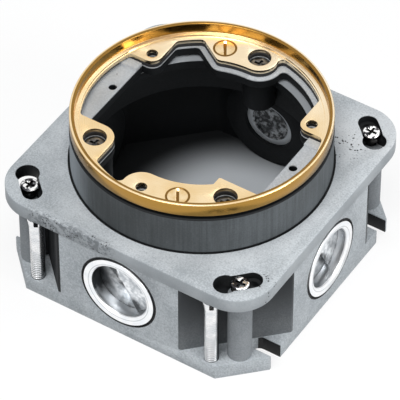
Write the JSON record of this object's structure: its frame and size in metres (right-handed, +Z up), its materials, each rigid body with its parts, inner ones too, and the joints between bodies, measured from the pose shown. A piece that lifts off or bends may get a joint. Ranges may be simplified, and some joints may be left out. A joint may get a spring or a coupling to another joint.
{
  "type": "floor socket box",
  "caption": "Square cast floor socket box with bushed conduit entries, a turning top plate with a round collar, and a brass-rimmed device ring on adjusting screws.",
  "frame": {"origin": "centre of the underside of the box body", "axes": "+Z up through the round opening; -Y out of the wall at the front left of the picture; +X out of the wall at the front right"},
  "size_m": [0.12, 0.12, 0.0725],
  "materials": {
    "cast_grey": "cast iron under smooth light grey enamel",
    "cast_dark": "cast iron under grey enamel, machined face",
    "brass": "turned and lightly polished",
    "rubber": "matt black",
    "zinc": "bright zinc plate",
    "zinc_cast": "rough zinc-plated casting",
    "spring_steel": "oiled spring steel"
  },
  "bodies": {
    "box": {"box_body": "cast_grey", "clamp_screws": "zinc", "clamp_washers": "zinc", "conduit_bushing_front": "zinc", "conduit_bushing_right": "zinc", "conduit_bushing_back": "zinc", "conduit_bushing_left": "zinc"},
    "top": {"top_plate": "cast_grey"},
    "ring": {"device_ring": "cast_dark", "gasket_front": "rubber", "gasket_back": "rubber", "brass_ring": "brass", "ring_screws": "zinc"},
    "adjuster_left": {"adjusting_screw_left": "zinc", "retaining_clip_left": "spring_steel"},
    "adjuster_right": {"adjusting_screw_right": "zinc", "retaining_clip_right": "spring_steel"},
    "adjuster_back": {"adjusting_screw_back": "zinc", "retaining_clip_back": "spring_steel"},
    "leveller_front_left": {"levelling_screw_front_left": "zinc"},
    "leveller_front_right": {"levelling_screw_front_right": "zinc"},
    "leveller_back_left": {"levelling_screw_back_left": "zinc"},
    "leveller_back_right": {"levelling_screw_back_right": "zinc"},
    "plug_front": {"conduit_plug_front": "zinc_cast"},
    "plug_right": {"conduit_plug_right": "zinc_cast"},
    "plug_back": {"conduit_plug_back": "zinc_cast"},
    "plug_left": {"conduit_plug_left": "zinc_cast"}
  },
  "joints": [
    {"name": "top_turn", "type": "hinge", "parent": "box", "child": "top", "pos_m": [0, 0, 0.044], "axis": [0, 0, 1], "range_deg": [-4, 4.8]},
    {"name": "ring_rise", "type": "slide", "parent": "top", "child": "ring", "axis": [0, 0, 1], "range_m": [0, 0.005]},
    {"name": "adjuster_left_turn", "type": "hinge", "parent": "ring", "child": "adjuster_left", "pos_m": [-0.02991, -0.02991, 0.06], "axis": [0, 0, 1], "range_deg": [0, 1420]},
    {"name": "adjuster_right_turn", "type": "hinge", "parent": "ring", "child": "adjuster_right", "pos_m": [0.02991, -0.02991, 0.06], "axis": [0, 0, 1], "range_deg": [0, 1420]},
    {"name": "adjuster_back_turn", "type": "hinge", "parent": "ring", "child": "adjuster_back", "pos_m": [0, 0.0423, 0.06], "axis": [0, 0, 1], "range_deg": [0, 1420]},
    {"name": "leveller_front_left_lower", "type": "slide", "parent": "box", "child": "leveller_front_left", "axis": [0, 0, -1], "range_m": [0, 0.025]},
    {"name": "leveller_front_right_lower", "type": "slide", "parent": "box", "child": "leveller_front_right", "axis": [0, 0, -1], "range_m": [0, 0.025]},
    {"name": "leveller_back_left_lower", "type": "slide", "parent": "box", "child": "leveller_back_left", "axis": [0, 0, -1], "range_m": [0, 0.025]},
    {"name": "leveller_back_right_lower", "type": "slide", "parent": "box", "child": "leveller_back_right", "axis": [0, 0, -1], "range_m": [0, 0.025]},
    {"name": "plug_front_out", "type": "slide", "parent": "box", "child": "plug_front", "axis": [0, -1, 0], "range_m": [0, 0.012]},
    {"name": "plug_right_out", "type": "slide", "parent": "box", "child": "plug_right", "axis": [1, 0, 0], "range_m": [0, 0.012]},
    {"name": "plug_back_out", "type": "slide", "parent": "box", "child": "plug_back", "axis": [0, 1, 0], "range_m": [0, 0.012]},
    {"name": "plug_left_out", "type": "slide", "parent": "box", "child": "plug_left", "axis": [-1, 0, 0], "range_m": [0, 0.012]}
  ],
  "couplings": [
    {"joint": "adjuster_left_turn", "follows": "ring_rise", "rad_per_m": 4947.4},
    {"joint": "adjuster_right_turn", "follows": "ring_rise", "rad_per_m": 4947.4},
    {"joint": "adjuster_back_turn", "follows": "ring_rise", "rad_per_m": 4947.4}
  ]
}
